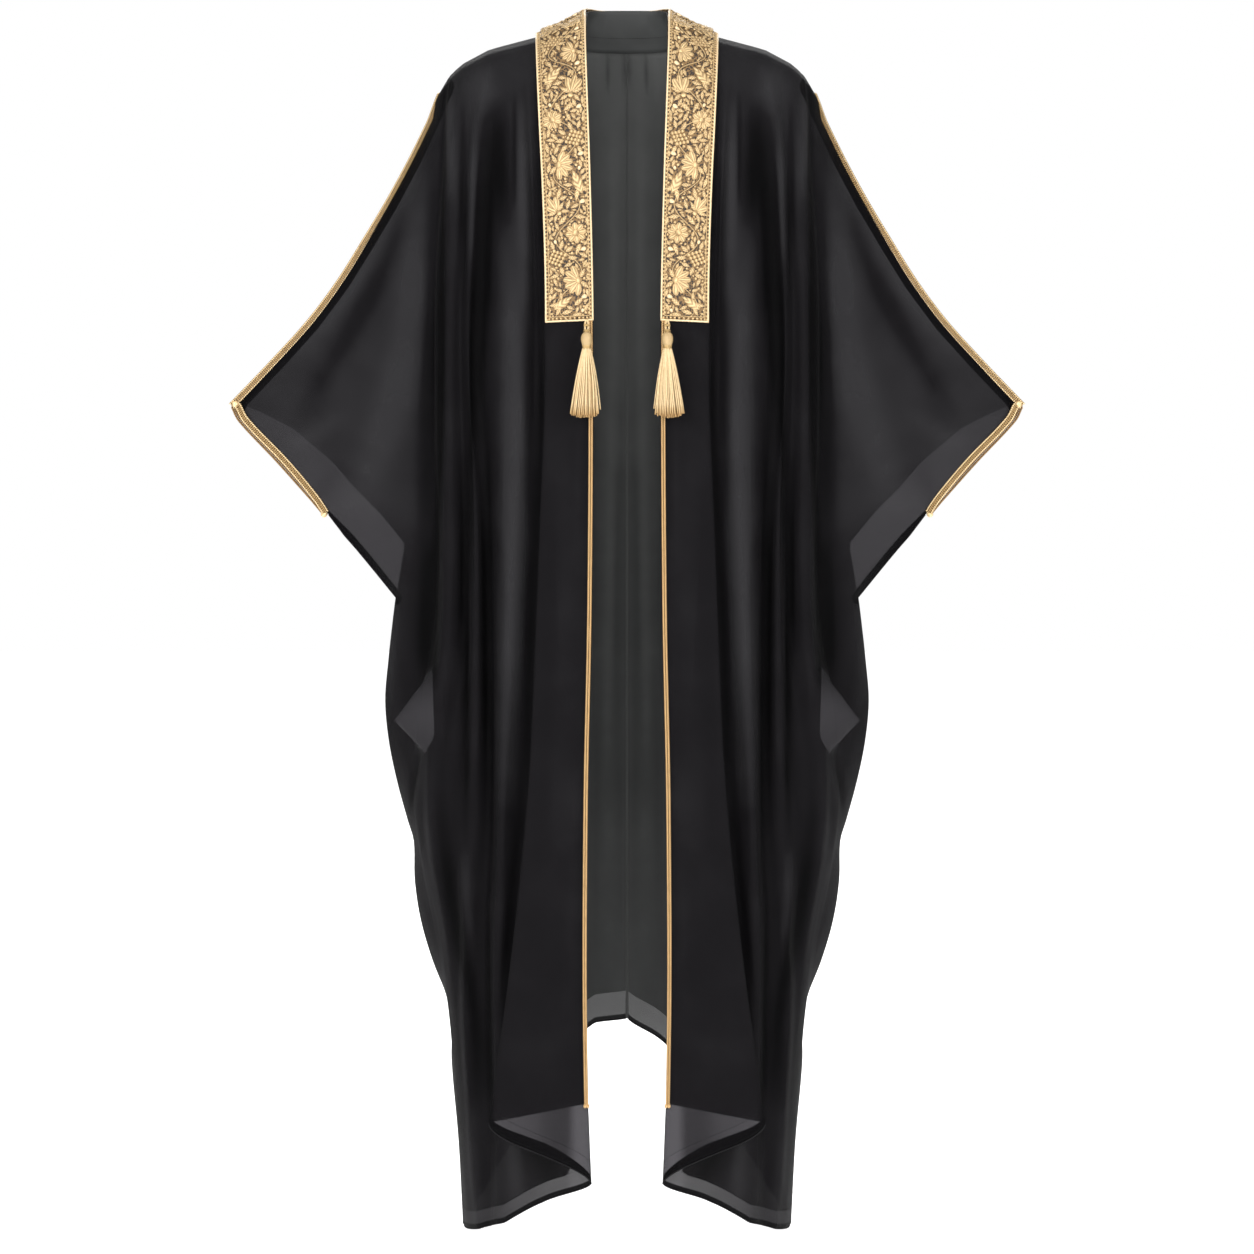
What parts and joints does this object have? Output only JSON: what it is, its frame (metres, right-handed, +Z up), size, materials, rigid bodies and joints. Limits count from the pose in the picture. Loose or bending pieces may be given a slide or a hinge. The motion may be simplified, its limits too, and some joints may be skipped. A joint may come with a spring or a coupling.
{
  "type": "open-front abaya",
  "caption": "Wide-cut open-front black sheer abaya with batwing sleeves, gold floral collar band, gold front and cuff braid and two gold tassels, in worn form.",
  "frame": {"origin": "between the shoulders at neck level, the point at which the wearer holds the garment up", "axes": "+Z up, -Y the front of the garment, +X the wearer's left"},
  "size_m": [0.943, 0.3077, 1.458],
  "materials": {
    "black_georgette": "matt sheer crepe weave",
    "gold_embroidery": "metal-wound thread, satin shine",
    "gold_braid": "metal-wound plaited braid",
    "gold_satin": "silky twisted strands"
  },
  "bodies": {
    "root": {"front_panel_left": "black_georgette", "front_panel_right": "black_georgette", "back_panel_left": "black_georgette", "back_panel_right": "black_georgette", "neck_stand": "black_georgette", "collar_band_left": "gold_embroidery", "collar_band_right": "gold_embroidery", "front_piping_left": "gold_braid", "front_piping_right": "gold_braid", "sleeve_top_braid_left": "gold_braid", "sleeve_top_braid_right": "gold_braid", "cuff_braid_left": "gold_braid", "cuff_braid_right": "gold_braid", "tassel_left": "gold_satin", "tassel_right": "gold_satin"}
  },
  "joints": []
}
